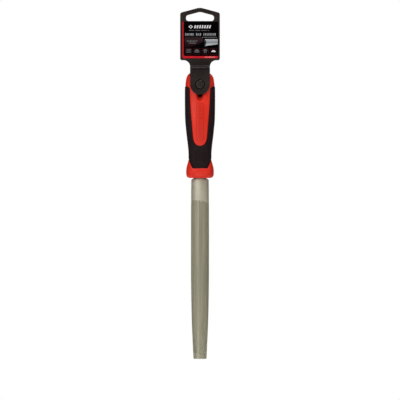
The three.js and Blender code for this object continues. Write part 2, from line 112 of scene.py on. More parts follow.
def area(loop):
    x, y = loop[:, 0], loop[:, 1]
    return 0.5 * float(np.sum(x * np.roll(y, -1) - np.roll(x, -1) * y))


def wound(loop, anticlockwise=True):
    loop = clean(loop)
    return loop if (area(loop) > 0) == anticlockwise else loop[::-1]


def rounded_rectangle(left, bottom, right, top, radius, count=6):
    return clean(
        arc(right - radius, top - radius, radius, 0, 90, count)
        + arc(left + radius, top - radius, radius, 90, 180, count)
        + arc(left + radius, bottom + radius, radius, 180, 270, count)
        + arc(right - radius, bottom + radius, radius, 270, 360, count)
    )


def teardrop(top, top_radius, bottom, bottom_radius, count):
    upper, lower = top - top_radius, bottom + bottom_radius
    lean = math.degrees(math.asin((top_radius - bottom_radius) / (upper - lower)))
    return clean(
        arc(0, upper, top_radius, -lean, 180 + lean, count)
        + arc(0, lower, bottom_radius, 180 + lean, 360 - lean, count)
    )


def inset(loop, distance):
    """The loop moved by distance to its left, into the material of an anticlockwise outline."""
    before = loop - np.roll(loop, 1, axis=0)
    after = np.roll(loop, -1, axis=0) - loop
    before /= np.linalg.norm(before, axis=1)[:, None]
    after /= np.linalg.norm(after, axis=1)[:, None]
    left_before = np.stack([-before[:, 1], before[:, 0]], axis=1)
    left_after = np.stack([-after[:, 1], after[:, 0]], axis=1)
    mitre = left_before + left_after
    scale = 1 + np.sum(left_before * left_after, axis=1)
    return loop + distance * mitre / np.maximum(scale, 0.35)[:, None]


def inside(x, z, loop):
    result = np.zeros(x.shape, bool)
    for (x0, z0), (x1, z1) in zip(loop, np.roll(loop, -1, axis=0)):
        if z0 == z1:
            continue
        crosses = (z0 > z) != (z1 > z)
        result ^= crosses & (x < (x1 - x0) * (z - z0) / (z1 - z0) + x0)
    return result


def edge_distance(x, z, loop):
    best = np.full(x.shape, 1e9)
    for (x0, z0), (x1, z1) in zip(loop, np.roll(loop, -1, axis=0)):
        dx, dz = x1 - x0, z1 - z0
        t = np.clip(((x - x0) * dx + (z - z0) * dz) / (dx * dx + dz * dz), 0, 1)
        best = np.minimum(best, np.hypot(x - x0 - t * dx, z - z0 - t * dz))
    return best


def step(x, low, high):
    t = np.clip((x - low) / (high - low), 0, 1)
    return t * t * (3 - 2 * t)


def shoulder_drop(distance, depth, radius):
    """How far a rounded edge lies below its face, at a distance from the edge."""
    t = 1 - np.clip(distance, 0, radius) / radius
    return depth * (1 - np.sqrt(np.maximum(0, 1 - t * t)))


def smooth(rows, x, column):
    """A curve through rows of [x, values...] that never overshoots between two rows."""
    rows = np.array(rows, float)
    places, values = rows[:, 0], rows[:, column]
    width = np.diff(places)
    slope = np.diff(values) / width
    tangent = np.empty(len(rows))
    tangent[0], tangent[-1] = slope[0], slope[-1]
    product = slope[:-1] * slope[1:]
    total = slope[:-1] + slope[1:]
    total = np.where(product > 0, total, 1.0)
    tangent[1:-1] = np.where(product > 0, 2 * product / total, 0)
    x = np.asarray(x, float)
    i = np.clip(np.searchsorted(places, x, side="right") - 1, 0, len(width) - 1)
    t = (x - places[i]) / width[i]
    start = (1 + 2 * t) * (1 - t) ** 2 * values[i] + t * (1 - t) ** 2 * width[i] * tangent[i]
    end = t * t * (3 - 2 * t) * values[i + 1] - t * t * (1 - t) * width[i] * tangent[i + 1]
    return start + end


# ---- solids

LATHE_SIDES = 72


def add_object(name, data):
    item = bpy.data.objects.new(name, data)
    bpy.context.scene.collection.objects.link(item)
    return item


def built(name, work):
    """A new piece from a bmesh, which is used up."""
    mesh = bpy.data.meshes.new(name)
    work.to_mesh(mesh)
    work.free()
    return add_object(name, mesh)


def solid(name, points, faces):
    """A mesh piece from points in millimetres, with its faces turned outwards."""
    mesh = bpy.data.meshes.new(name)
    mesh.from_pydata((np.asarray(points) * MM).tolist(), [], faces)
    work = bmesh.new()
    work.from_mesh(mesh)
    bmesh.ops.recalc_face_normals(work, faces=work.faces)
    work.to_mesh(mesh)
    work.free()
    return add_object(name, mesh)


def lofted(name, rings):
    """A closed solid through rings of equal length, with a flat face over each end."""
    rings = np.asarray(rings)
    count, around = rings.shape[:2]
    index = np.arange(count * around).reshape(count, around)
    ahead = np.roll(index, -1, axis=1)
    quads = np.stack([index[:-1], ahead[:-1], ahead[1:], index[1:]], axis=-1).reshape(-1, 4)
    ends = [index[0].tolist()[::-1], index[-1].tolist()]
    return solid(name, rings.reshape(-1, 3), quads.tolist() + ends)


def lathe(name, profile):
    """Turns (radius, y) points about the rivet's axis. The profile starts and ends on the axis."""
    sides = LATHE_SIDES
    angles = np.linspace(0, 2 * math.pi, sides, endpoint=False)
    inner = profile[1:-1]
    rings = [[(r * math.cos(a), y, RIVET + r * math.sin(a)) for a in angles] for r, y in inner]
    points = [p for ring in rings for p in ring]
    points += [(0, profile[0][1], RIVET), (0, profile[-1][1], RIVET)]
    first, last = len(points) - 2, len(points) - 1
    faces = []
    for k in range(sides):
        n = (k + 1) % sides
        for row in range(len(inner) - 1):
            low, high = row * sides, (row + 1) * sides
            faces.append((low + k, low + n, high + n, high + k))
        top = (len(inner) - 1) * sides
        faces.append((first, n, k))
        faces.append((last, top + k, top + n))
    return solid(name, points, faces)


FRONT = "front"
SIDE = "side"


def plate(name, loops, low, high, radius=0.0, steps=4, seen=FRONT):
    """A flat piece with rounded edges.

    The first loop is its outline and the others are holes, in X and Z, or in Y and Z from the side.
    """
    angles = [0.0] if radius == 0 else np.linspace(0, math.pi / 2, steps)
    levels = [(low + radius * (1 - math.sin(a)), radius * (1 - math.cos(a))) for a in angles[::-1]]
    levels += [(high - radius * (1 - math.sin(a)), radius * (1 - math.cos(a))) for a in angles]
    work = bmesh.new()
    face_edges = [[], []]
    for number, loop in enumerate(loops):
        loop = wound(loop, anticlockwise=number == 0)
        rings = []
        for height, shrink in levels:
            ring = inset(loop, shrink)
            if seen == FRONT:
                points = [(x, height, z) for x, z in ring]
            else:
                points = [(height, y, z) for y, z in ring]
            rings.append([work.verts.new(Vector(p) * MM) for p in points])
        for lower, upper in zip(rings, rings[1:]):
            for k in range(len(loop)):
                n = (k + 1) % len(loop)
                work.faces.new((lower[k], lower[n], upper[n], upper[k]))
        for which, ring in enumerate((rings[0], rings[-1])):
            for k in range(len(ring)):
                face_edges[which].append(work.edges.get((ring[k], ring[(k + 1) % len(ring)])))
    for edges in face_edges:
        bmesh.ops.triangle_fill(work, edges=edges, use_beauty=True)
    bmesh.ops.recalc_face_normals(work, faces=work.faces)
    return built(name, work)


def apply_modifier(piece):
    """Replaces the piece's mesh with the one that its modifier makes of it."""
    graph = bpy.context.evaluated_depsgraph_get()
    mesh = bpy.data.meshes.new_from_object(piece.evaluated_get(graph))
    piece.modifiers.clear()
    old = piece.data
    piece.data = mesh
    bpy.data.meshes.remove(old)


def combine(piece, other, operation):
    """Joins, cuts or intersects piece with other, which is used up."""
    modifier = piece.modifiers.new("combine", "BOOLEAN")
    modifier.solver = "MANIFOLD"
    modifier.operation = operation
    modifier.object = other
    apply_modifier(piece)
    bpy.data.objects.remove(other)
    return piece


def join(piece, *others):
    for other in others:
        combine(piece, other, "UNION")
    return piece


def cut(piece, *others):
    for other in others:
        combine(piece, other, "DIFFERENCE")
    return piece


def keep_inside(piece, other):
    return combine(piece, other, "INTERSECT")


def gather(name, parts):
    """One piece made of several separate bodies."""
    work = bmesh.new()
    for part in parts:
        work.from_mesh(part.data)
        bpy.data.objects.remove(part)
    return built(name, work)


def settle_normals(piece):
    """Lets the large faces keep their own direction, so only the narrow rounded edges look curved."""
    modifier = piece.modifiers.new("normals", "WEIGHTED_NORMAL")
    modifier.keep_sharp = True
    apply_modifier(piece)


def finish_piece(piece, body, materials, replaced=(), sharp=35, settle=True):
    mesh = piece.data
    mesh.materials.clear()
    for material in materials:
        mesh.materials.append(material)
    mesh.polygons.foreach_set("use_smooth", [True] * len(mesh.polygons))
    mesh.set_sharp_from_angle(angle=math.radians(sharp))
    mesh.update()
    if settle:
        settle_normals(piece)
    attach(piece, body)
    if replaced:
        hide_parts(*replaced)


# ---- materials

def set_inputs(node, values):
    for name, value in values.items():
        node.inputs[name].default_value = value


class Nodes:
    """A Principled material under construction."""

    def __init__(self, name, roughness, metallic=0.0, specular=0.5):
        self.material = bpy.data.materials.new(name)
        self.material.use_nodes = True
        self.tree = self.material.node_tree
        self.shader = self.tree.nodes["Principled BSDF"]
        values = {"Roughness": roughness, "Metallic": metallic, "Specular IOR Level": specular}
        set_inputs(self.shader, values)
        self.place = self.node("TexCoord").outputs["Object"]

    def node(self, kind, **values):
        """A new node, with values for inputs whose names have an underscore for each space."""
        node = self.tree.nodes.new("ShaderNode" + kind)
        set_inputs(node, {name.replace("_", " "): value for name, value in values.items()})
        return node

    def link(self, source, target):
        self.tree.links.new(source, target)

    def stretched(self, x, y, z):
        mapping = self.node("Mapping", Scale=(x, y, z))
        self.link(self.place, mapping.inputs["Vector"])
        return mapping.outputs["Vector"]

    def noise(self, scale, detail=3.0, rough=0.5, vector=None):
        node = self.node("TexNoise", Scale=scale, Detail=detail, Roughness=rough)
        self.link(vector or self.place, node.inputs["Vector"])
        return node.outputs["Fac"]

    def ramp(self, source, stops):
        node = self.node("ValToRGB")
        elements = node.color_ramp.elements
        while len(elements) < len(stops):
            elements.new(0.5)
        for element, (position, colour) in zip(elements, stops):
            element.position = position
            element.color = (*colour, 1)
        self.link(source, node.inputs["Fac"])
        return node.outputs["Color"]

    def spread(self, source, low, high):
        node = self.node("MapRange", From_Min=0.3, From_Max=0.7, To_Min=low, To_Max=high)
        self.link(source, node.inputs["Value"])
        return node.outputs["Result"]

    def scaled(self, source, factor):
        node = self.node("Math")
        node.operation = "MULTIPLY"
        node.inputs[1].default_value = factor
        self.link(source, node.inputs[0])
        return node.outputs["Value"]

    def multiplied(self, first, second):
        node = self.node("Mix", Factor=1.0)
        node.data_type = "RGBA"
        node.blend_type = "MULTIPLY"
        self.link(first, node.inputs[6])
        self.link(second, node.inputs[7])
        return node.outputs[2]

    def painted_crevice_shade(self, reach, darkest):
        """Painted shade: a grey that falls to darkest in crevices narrower than reach, in millimetres,
        and close beside other parts.
        """
        node = self.node("AmbientOcclusion", Distance=reach * MM)
        node.samples = 8
        low, middle = (darkest,) * 3, ((1 + darkest) / 2,) * 3
        return self.ramp(node.outputs["AO"], [(0.15, low), (0.5, middle), (0.85, (1, 1, 1))])

    def colour(self, source):
        self.link(source, self.shader.inputs["Base Color"])

    def rough(self, source):
        self.link(source, self.shader.inputs["Roughness"])

    def bump(self, source, strength, distance):
        node = self.node("Bump", Strength=strength, Distance=distance)
        self.link(source, node.inputs["Height"])
        self.link(node.outputs["Normal"], self.shader.inputs["Normal"])


HANGER_SHEEN = 0.2


def shades(colour, *factors):
    return [tuple(channel * factor for channel in colour) for factor in factors]


def plain_steel():
    nodes = Nodes("heel_steel", roughness=0.5, metallic=0.6)
    grain = nodes.noise(1.0, 4, 0.6, nodes.stretched(2600, 2600, 60))
    cloud = nodes.noise(90, 3)
    dark, light = shades((0.39, 0.37, 0.295), 0.92, 1.08)
    tint = nodes.ramp(cloud, [(0.3, dark), (0.7, light)])
    streak = nodes.ramp(grain, [(0.25, (0.86, 0.86, 0.85)), (0.75, (1.0, 1.0, 1.0))])
    nodes.colour(nodes.multiplied(tint, streak))
    nodes.rough(nodes.spread(grain, 0.46, 0.6))
    nodes.bump(grain, 0.2, 0.00003)
    return nodes.material


def cut_steel():
    nodes = Nodes("cut_steel", roughness=0.55, metallic=0.5)
    streaks = nodes.noise(1.0, 3, 0.55, nodes.stretched(520, 520, 9))
    fine = nodes.noise(1.0, 3, 0.6, nodes.stretched(1800, 1800, 260))
    dark, mid, light = shades((0.257, 0.247, 0.184), 0.76, 1.0, 1.2)
    tint = nodes.ramp(streaks, [(0.3, dark), (0.5, mid), (0.72, light)])
    grain = nodes.ramp(fine, [(0.25, (0.84, 0.83, 0.8)), (0.75, (1.0, 1.0, 1.0))])
    nodes.colour(nodes.multiplied(tint, grain))
    nodes.rough(nodes.spread(fine, 0.5, 0.66))
    return nodes.material


def red_plastic():
    nodes = Nodes("red_plastic", roughness=0.45, specular=0.14)
    cloud = nodes.noise(60, 3)
    grain = nodes.noise(2200, 2)
    tint = nodes.ramp(cloud, [(0.3, (0.475, 0.0165, 0.008)), (0.7, (0.532, 0.0235, 0.012))])
    # Painted shade: the red darkens in crevices, in the slot's mouth and beside the hanger's legs.
    nodes.colour(nodes.multiplied(tint, nodes.painted_crevice_shade(4.0, 0.15)))
    nodes.rough(nodes.spread(cloud, 0.38, 0.44))
    nodes.bump(grain, 0.12, 0.00003)
    return nodes.material


def soft_rubber():
    nodes = Nodes("soft_grip", roughness=0.6, specular=0.06)
    cloud = nodes.noise(70, 3)
    grain = nodes.noise(1900, 4, 0.65)
    tint = nodes.ramp(cloud, [(0.3, (0.0085, 0.0042, 0.005)), (0.7, (0.0135, 0.0075, 0.0085))])
    nodes.colour(tint)
    nodes.rough(nodes.spread(grain, 0.5, 0.7))
    nodes.bump(grain, 0.35, 0.00006)
    return nodes.material


def hanger_plastic():
    nodes = Nodes("moulded_plastic", roughness=0.42, specular=HANGER_SHEEN)
    cloud = nodes.noise(55, 3)
    grain = nodes.noise(2400, 3)
    tint = nodes.ramp(cloud, [(0.3, (0.0108, 0.0072, 0.0066)), (0.7, (0.0168, 0.0116, 0.0098))])
    # Painted shade: the black darkens in crevices and beside other parts, and its highlights weaken
    # there too.
    shade = nodes.painted_crevice_shade(2.2, 0.05)
    nodes.colour(nodes.multiplied(tint, shade))
    nodes.link(nodes.scaled(shade, HANGER_SHEEN), nodes.shader.inputs["Specular IOR Level"])
    nodes.rough(nodes.spread(cloud, 0.3, 0.4))
    nodes.bump(grain, 0.2, 0.00004)
    return nodes.material


def ink(name, colour, contrast=0.12, roughness=0.45, specular=0.03):
    nodes = Nodes(name, roughness=roughness, specular=specular)
    grain = nodes.noise(900, 3)
    dark, light = shades(colour, 1 - contrast, 1 + contrast)
    nodes.colour(nodes.ramp(grain, [(0.3, dark), (0.7, light)]))
    return nodes.material


def graded_ink(name, stops, low, high, axis="Z"):
    """Ink whose colour runs from one height, or one X, to another."""
    nodes = Nodes(name, roughness=0.45, specular=0.03)
    split = nodes.node("SeparateXYZ")
    nodes.link(nodes.place, split.inputs["Vector"])
    node = nodes.node("MapRange", From_Min=low * MM, From_Max=high * MM)
    nodes.link(split.outputs[axis], node.inputs["Value"])
    base = nodes.ramp(node.outputs["Result"], stops)
    grain = nodes.ramp(nodes.noise(900, 3), [(0.3, (0.9, 0.9, 0.9)), (0.7, (1.0, 1.0, 1.0))])
    nodes.colour(nodes.multiplied(base, grain))
    return nodes.material


# ---- blade

# [distance from the shoulder, half width, thickness, y of the back, share of the round section]
BLADE_ROWS = [
    [-55, 2.6, 4.0, 2.1, 0],
    [-2.2, 6.4, 4.0, 2.1, 0],
    [-1.6, 6.5, 5.0, 2.3, 0.5],
    [-0.9, 6.95, 5.5, 2.4, 1],
    [0, 8.5, 5.7, 2.4, 1],
    [0.9, 9.4, 5.8, 2.4, 1],
    [2, 9.7, 5.8, 2.4, 1],
    [20, 9.85, 5.8, 2.4, 1],
    [42, 10.0, 5.8, 2.4, 1],
    [100, 10.02, 5.8, 2.4, 1],
    [126, 9.78, 5.7, 2.4, 1],
    [148, 9.42, 5.5, 2.4, 1],
    [164, 8.92, 5.1, 2.4, 1],
    [182, 8.12, 4.4, 2.4, 1],
    [193, 7.6, 3.9, 2.4, 1],
    [BLADE_LENGTH, 7.2, 3.5, 2.4, 1],
]
FLAT_BACK = 2.4
BLADE_EDGE = 0.6
# Depth and length of the rounding at the tip.
TIP_ROUNDING = (0.3, 0.5)
TOOTH_PITCH = 1.0
TOOTH_DEPTH = 0.24
TOOTH_COUNT = 171
# Where along a tooth its foot, its slope and its crest lie, and how deep.
TOOTH_SHAPE = [(0.0, 1.0), (0.42, 0.45), (0.8, 0.0)]
BANDS = 10
BAND_COLUMNS = 9
BAND_SLANT = 1.7
BACK_COLUMNS = 61
BACK_DEPTH = 0.16
HEEL_LEFT = 22.9
HEEL_RIGHT = 26.0


def section_columns():
    """The columns round the section: where each lies across the blade and within its row of teeth.

    The level is 1 on the round side, 0 on the back and 0.5 on the edges between them.
    """
    band = np.repeat(np.arange(BANDS), BAND_COLUMNS)
    within = np.tile(np.linspace(-0.46, 0.46, BAND_COLUMNS), BANDS)
    angle = ((band + 0.5 + within) / BANDS - 0.5) * math.pi
    angle = np.concatenate([[-math.pi / 2], angle, [math.pi / 2]])
    count = len(angle)
    across = np.concatenate([np.sin(angle), [1.0], np.linspace(1, -1, BACK_COLUMNS), [-1.0]])
    level = np.concatenate([np.ones(count), [0.5], np.zeros(BACK_COLUMNS), [0.5]])
    band = np.concatenate([[0], band, [BANDS - 1]])
    within = np.concatenate([[-0.5], within, [0.5]])
    return across, level, band, within, count


def blade_grid():
    """Distance from the shoulder and depth of cut, for each row and column of the blade's mesh."""
    across, level, band, within, count = section_columns()
    random = np.random.default_rng(7)
    heel_line = HEEL_LEFT + (HEEL_RIGHT - HEEL_LEFT) * (across + 1) / 2
    stagger = random.uniform(-0.5, 0.5, BANDS)
    start = heel_line.copy()
    start[:count] += stagger[band] - BAND_SLANT * within
    wobble = random.uniform(-0.05, 0.05, (TOOTH_COUNT, BANDS))
    wear = random.uniform(0.85, 1.0, (TOOTH_COUNT, BANDS))
    border = 0.5 * step(np.abs(within), 0.36, 0.47)
    crown = 0.2 * (2 * within) ** 2
    edge_fade = 1 - step(np.abs(across[:count]), 0.982, 1.0)
    index = np.arange(BACK_COLUMNS)
    rows, depths = [], []
    for tooth in range(TOOTH_COUNT):
        for part, (phase, share) in enumerate(TOOTH_SHAPE):
            row = start + (tooth + phase) * TOOTH_PITCH
            row[:count] += wobble[tooth][band]
            depth = np.zeros(len(across))
            tall = share * wear[tooth][band] + (1 - share) * np.minimum(crown + border, 0.9)
            depth[:count] = TOOTH_DEPTH * tall * edge_fade
            first, second = (part + index) % 3, (part - index) % 3
            depth[count + 1:-1] = BACK_DEPTH * (0.6 * (1 - first / 2) + 0.4 * (1 - second / 2))
            rows.append(row)
            depths.append(depth)
    tang, shoulder, heel = np.linspace(-55, -3, 14), np.linspace(-2.2, 3, 27), np.linspace(4.5, 21.0, 12)
    plain = np.concatenate([tang, shoulder, heel])
    end = [BLADE_LENGTH - before for before in (0.5, 0.35, 0.15, 0.04, 0)]
    wide = np.ones(len(across))
    rows = [d * wide for d in plain] + rows + [d * wide for d in end]
    none = 0 * wide
    depths = [none] * len(plain) + depths + [none] * len(end)
    return np.array(rows), np.array(depths), across[None, :], level[None, :], len(plain)


def make_blade():
    distance, depth, across, level, first_cut = blade_grid()
    half_width = smooth(BLADE_ROWS, distance, 1)
    thickness = smooth(BLADE_ROWS, distance, 2)
    back = BLADE_BACK - FLAT_BACK + smooth(BLADE_ROWS, distance, 3)
    share = smooth(BLADE_ROWS, distance, 4)
    tip = shoulder_drop(BLADE_LENGTH - distance, *TIP_ROUNDING)
    half_width, thickness = half_width - tip, thickness - 2 * tip
    x = across * half_width
    rise = thickness - BLADE_EDGE
    radius = (half_width ** 2 + rise ** 2) / (2 * rise)
    bulge = np.sqrt(np.maximum(radius ** 2 - x ** 2, 0)) - (radius - rise)
    block = rise * (1 - np.abs(across) ** 10) ** 0.1
    back = back - tip
    front = back - BLADE_EDGE - (share * bulge + (1 - share) * block)
    lean = x / radius * share
    y = np.where(level == 1, front + depth * np.sqrt(1 - lean ** 2), back - depth)
    y = np.where(level == 0.5, back - BLADE_EDGE / 2, y)
    x = np.where(level == 1, x - depth * lean, x)
    blade = lofted("blade", np.stack([x, y, SHOULDER - distance], axis=-1))
    count, around = distance.shape
    rows = np.repeat(np.arange(count - 1), around)
    columns = np.tile(np.arange(around), count - 1)
    plain_edge = (level[0, columns] == 0.5) | (level[0, (columns + 1) % around] == 0.5)
    last_cut = first_cut + len(TOOTH_SHAPE) * TOOTH_COUNT
    is_cut = (rows >= first_cut) & (rows < last_cut) & ~plain_edge
    steels = [plain_steel(), cut_steel()]
    finish_piece(blade, "file", steels, ["file_blade"], sharp=24, settle=False)
    steel = np.append(is_cut, [False, False]).astype(int)
    blade.data.polygons.foreach_set("material_index", steel.tolist())


# ---- handle

SECTION_POWER = 2.25
SECTION_SIDES = 208
SEAM = 0.12
GRIP_DEPTH = 2.5
GRIP_DIP = 90
# How far the core's surface is sunk under the grip, and how much less below the waist.
CORE_SUNK = 0.7
CORE_SUNK_LESS = 0.3
# Share or depth, and length, of the rounding along the grip's outline.
CORE_ROUNDING = (1.0, 1.45)
GRIP_ROUNDING = (0.5, 1.1)
# How far a cutter reaches to either side of the handle, and where one that stays on one face stops.
THROUGH = 30
ONE_FACE = 3

# [distance from the butt, half width, half depth] of the hard core.
CORE_ROWS = [
    [0, 10.2, 4.8],
    [0.4, 11.5, 5.9],
    [1.2, 12.6, 7.1],
    [2.2, 13.5, 8.0],
    [3.6, 14.35, 8.8],
    [5.3, 15.0, 9.3],
    [8.5, 15.65, 9.8],
    [14, 16.2, 10.2],
    [22, 16.35, 10.45],
    [31, 16.35, 10.6],
    [43, 16.24, 12.1],
    [52, 16.0, 12.7],
    [62, 15.15, 12.2],
    [72, 14.05, 11.3],
    [82, 12.85, 10.4],
    [90, 12.25, 9.9],
    [94, 12.4, 10.0],
    [97.5, 13.0, 10.5],
    [101, 13.95, 11.3],
    [105.3, 15.0, 12.3],
    [109.3, 15.36, 12.6],
    [112.2, 15.32, 12.5],
    [114.2, 14.95, 12.1],
    [115.6, 14.15, 11.3],
    [HANDLE_LENGTH, 12.3, 9.7],
]
GRIP_DIP_ROWS = [
    [97, 12.8, 10.35],
    [106, 13.3, 11.1],
    [HANDLE_LENGTH, 13.3, 11.1],
]
GRIP_ROWS = [[s, a + 0.5, b + 0.3] for s, a, b in CORE_ROWS if s <= GRIP_DIP] + GRIP_DIP_ROWS

# Outline of the soft grip from the front.
GRIP_TOP = grip_high[2]
GRIP_INNER_TOP = GRIP_TOP - 2.6
WINDOW_TOP_HALF = 11.8
WINDOW_LOW_HALF = 8.1
WINDOW_LOW = GRIP_TOP - 57.1
WINDOW_BOTTOM = GRIP_TOP - 66.3
GRIP_WAIST = GRIP_TOP - 80.9
GRIP_WAIST_HALF = 12.9
TONGUE_HALF = 9.6
TONGUE_BOTTOM = grip_low[2] - 0.8
TONGUE_CORNER = 2.4

# Hang slot through the handle.
SLOT_TOP = RIVET + 3.55
SLOT_TOP_RADIUS = 4.5
SLOT_BOTTOM = RIVET - 14.4
SLOT_BOTTOM_RADIUS = 2.3
MOUTH_REACH = 16
MOUTH_DEPTH = 4.2
MOUTH_WIDEN = 1.42
MOUTH_LENGTHEN = 1.31
# [share of the widening, share of the depth] up the flank, with both of its ends rounded off.
MOUTH_PROFILE = [(0, 1), (0.015, 0.93), (0.06, 0.85), (0.84, 0.1), (0.9, 0.05), (0.96, 0.015), (1, 0)]

# Engraved outline of a panel, and engraved lozenge ornaments, in the window.
PANEL_TOP = BUTT - 34.1
PANEL_BOTTOM = BUTT - 74.8
PANEL_HALF_WIDTH = 4.2
GROOVE_WIDTH = 0.65
GROOVE_DEPTH = 0.3
ORNAMENTS = 9
PANEL_MARGIN = 1.7
PANEL_CORNER = 1.3
# Half width and half height of an ornament's outer and inner lozenge.
ORNAMENT_OUTER = (2.7, 1.85)
ORNAMENT_INNER = (1.75, 1.15)
RIB_COUNT = 8
RIB_TOP = BUTT - 86.9
RIB_PITCH = 2.2
RIB_HALF_WIDTH = 6.3
RIB_FADE = 0.9
RIB_GROOVE_HALF = 0.62
RIB_GROOVE_DEPTH = 0.5

# Socket for the tang.
SOCKET_LENGTH = 55.3
SOCKET_HALF_WIDTH = 6.7
SOCKET_END_HALF_WIDTH = 2.9
SOCKET_FRONT = -2.2
SOCKET_BACK = 2.4


def grip_outline(grow):
    outside = 25
    high, low = WINDOW_TOP_HALF - grow, WINDOW_LOW_HALF - grow
    top, inner_top, bottom = GRIP_TOP + grow, GRIP_INNER_TOP + grow, WINDOW_BOTTOM + grow
    third, two_thirds = (WINDOW_LOW + (inner_top - WINDOW_LOW) * k / 3 for k in (2, 1))
    start = (WINDOW_LOW + 2 * bottom) / 3
    waist, side = GRIP_WAIST - grow, GRIP_WAIST_HALF + grow
    tongue, end = TONGUE_BOTTOM - grow, TONGUE_HALF + grow
    right = [(outside, top), (16.4, top)]
    right += quadratic((16.4, top), (14.2, top), (high, inner_top))
    side_start, side_end = (high, inner_top), (low, WINDOW_LOW)
    right += bezier(side_start, (high - 0.3, third), (low + 1.6, two_thirds), side_end, 24)
    right += bezier((low, WINDOW_LOW), (low - 0.9, start), (low / 2, bottom), (0, bottom), 18)
    lower = [(-outside, waist + 0.5), (-side, waist), (-end, tongue + TONGUE_CORNER)]
    corner_start, corner_end = (-end, tongue + TONGUE_CORNER), (TONGUE_CORNER - end, tongue)
    lower += quadratic(corner_start, (1 - end, tongue), corner_end)
    return clean(right + mirrored(right) + lower + mirrored(lower))


def handle_stations():
    ends = [0, 0.1, 0.25, 0.4, 0.65, 0.9, 1.2, 1.5, 1.85, 2.2, 2.6]
    middle = np.arange(3.0, 112.0, 0.45)
    foot = [112.4, 112.8, 113.2, 113.6, 114.0, 114.4, 114.8, 115.2, 115.6, 115.9, 116.2, 116.45]
    return np.concatenate([ends, middle, foot, [HANDLE_LENGTH]])


def handle_body(name, rows, grow=0.0, relief=None, sides=SECTION_SIDES):
    """A handle body through the rows, with its surface moved out by relief(x, z)."""
    distance = handle_stations()[:, None]
    angle = np.linspace(0, 2 * math.pi, sides, endpoint=False)[None, :]
    power = 2 / SECTION_POWER
    u = np.sign(np.cos(angle)) * np.abs(np.cos(angle)) ** power
    v = np.sign(np.sin(angle)) * np.abs(np.sin(angle)) ** power
    half_width = smooth(rows, distance, 1) + grow
    half_depth = smooth(rows, distance, 2) + grow
    x, y = u * half_width, -v * half_depth
    z = np.broadcast_to(BUTT - distance, x.shape)
    if relief is not None:
        normal_x = np.sign(u) * np.abs(u) ** (SECTION_POWER - 1) / half_width
        normal_y = -np.sign(v) * np.abs(v) ** (SECTION_POWER - 1) / half_depth
        length = np.hypot(normal_x, normal_y)
        height = relief(x, z)
        x, y = x + height * normal_x / length, y + height * normal_y / length
    rings = np.stack([x, y, z], axis=-1)
    top = [rings[0] * (k, k, 1) for k in (0.25, 0.6, 0.9)]
    foot = [rings[-1] * (k, k, 1) for k in (0.9, 0.6, 0.25)]
    return lofted(name, np.concatenate([top, rings, foot]))


def mouth_outline(scale):
    pivot = SLOT_TOP - SLOT_TOP_RADIUS
    loop = teardrop(SLOT_TOP, SLOT_TOP_RADIUS, SLOT_BOTTOM, SLOT_BOTTOM_RADIUS, 40)
    across, along = 1 + scale * (MOUTH_WIDEN - 1), 1 + scale * (MOUTH_LENGTHEN - 1)
    return np.stack([loop[:, 0] * across, pivot + (loop[:, 1] - pivot) * along], axis=1)


def core_depth(x, z):
    """How far the core's surface lies in front of the middle, without any relief."""
    half_width = smooth(CORE_ROWS, BUTT - z, 1)
    half_depth = smooth(CORE_ROWS, BUTT - z, 2)
    return half_depth * (1 - (np.abs(x) / half_width) ** SECTION_POWER) ** (1 / SECTION_POWER)


def core_relief(x, z):
    outline = grip_outline(0)
    away = edge_distance(x, z, outline)
    under_grip = inside(x, z, outline)
    deep = CORE_SUNK - CORE_SUNK_LESS * step(-z, -GRIP_WAIST - 8, -GRIP_WAIST)
    return -np.where(under_grip, deep, shoulder_drop(away, *CORE_ROUNDING) * deep)


def grip_relief(x, z):
    away = edge_distance(x, z, grip_outline(0))
    height = -shoulder_drop(away, *GRIP_ROUNDING)
    nearest = np.clip(np.round((RIB_TOP - z) / RIB_PITCH), 0, RIB_COUNT - 1)
    from_groove = np.abs(z - (RIB_TOP - nearest * RIB_PITCH))
    side_limit = step(RIB_HALF_WIDTH - np.abs(x), 0, RIB_FADE)
    groove = np.cos(np.minimum(from_groove / RIB_GROOVE_HALF, 1) * math.pi / 2) ** 2
    return height - RIB_GROOVE_DEPTH * groove * side_limit


def lozenge(centre_z, half_width, half_height):
    top, bottom = centre_z + half_height, centre_z - half_height
    return [(half_width, centre_z), (0, top), (-half_width, centre_z), (0, bottom)]


def engraving():
    """The grooves of the panel's outline on both sides, and those of its ornaments on the front."""
    outer = rounded_rectangle(-PANEL_HALF_WIDTH, PANEL_BOTTOM, PANEL_HALF_WIDTH, PANEL_TOP, PANEL_CORNER)
    inner = inset(wound(outer), GROOVE_WIDTH)
    reaches = ((-THROUGH, -ONE_FACE), (ONE_FACE, THROUGH))
    grooves = [plate("groove", [outer, inner], low, high) for low, high in reaches]
    pitch = (PANEL_TOP - PANEL_BOTTOM - 2 * PANEL_MARGIN) / ORNAMENTS
    for k in range(ORNAMENTS):
        middle = PANEL_TOP - PANEL_MARGIN - (k + 0.5) * pitch
        loops = [lozenge(middle, *ORNAMENT_OUTER), lozenge(middle, *ORNAMENT_INNER)]
        grooves.append(plate("groove", loops, -THROUGH, -ONE_FACE))
    return cut(gather("engraving", grooves), handle_body("floor", CORE_ROWS, -GROOVE_DEPTH, sides=96))


def tang_socket():
    """A cutter with the shape of the tang and a little room all round."""
    right = [(SOCKET_HALF_WIDTH, SHOULDER - 4), (SOCKET_HALF_WIDTH, SHOULDER + 1)]
    right += [(SOCKET_END_HALF_WIDTH, SHOULDER + SOCKET_LENGTH)]
    return plate("socket", [right + mirrored(right)], SOCKET_FRONT, SOCKET_BACK)


def hang_slot_mouth(side):
    """A cutter that opens the slot towards one face, with an even flank all round."""
    rings = []
    for share, depth in MOUTH_PROFILE:
        loop = mouth_outline(share)
        y = core_depth(loop[:, 0], loop[:, 1]) - MOUTH_DEPTH * depth
        rings.append(np.stack([loop[:, 0], side * y, loop[:, 1]], axis=1))
    last = rings[-1].copy()
    last[:, 1] = side * MOUTH_REACH
    return lofted("mouth", rings + [last])


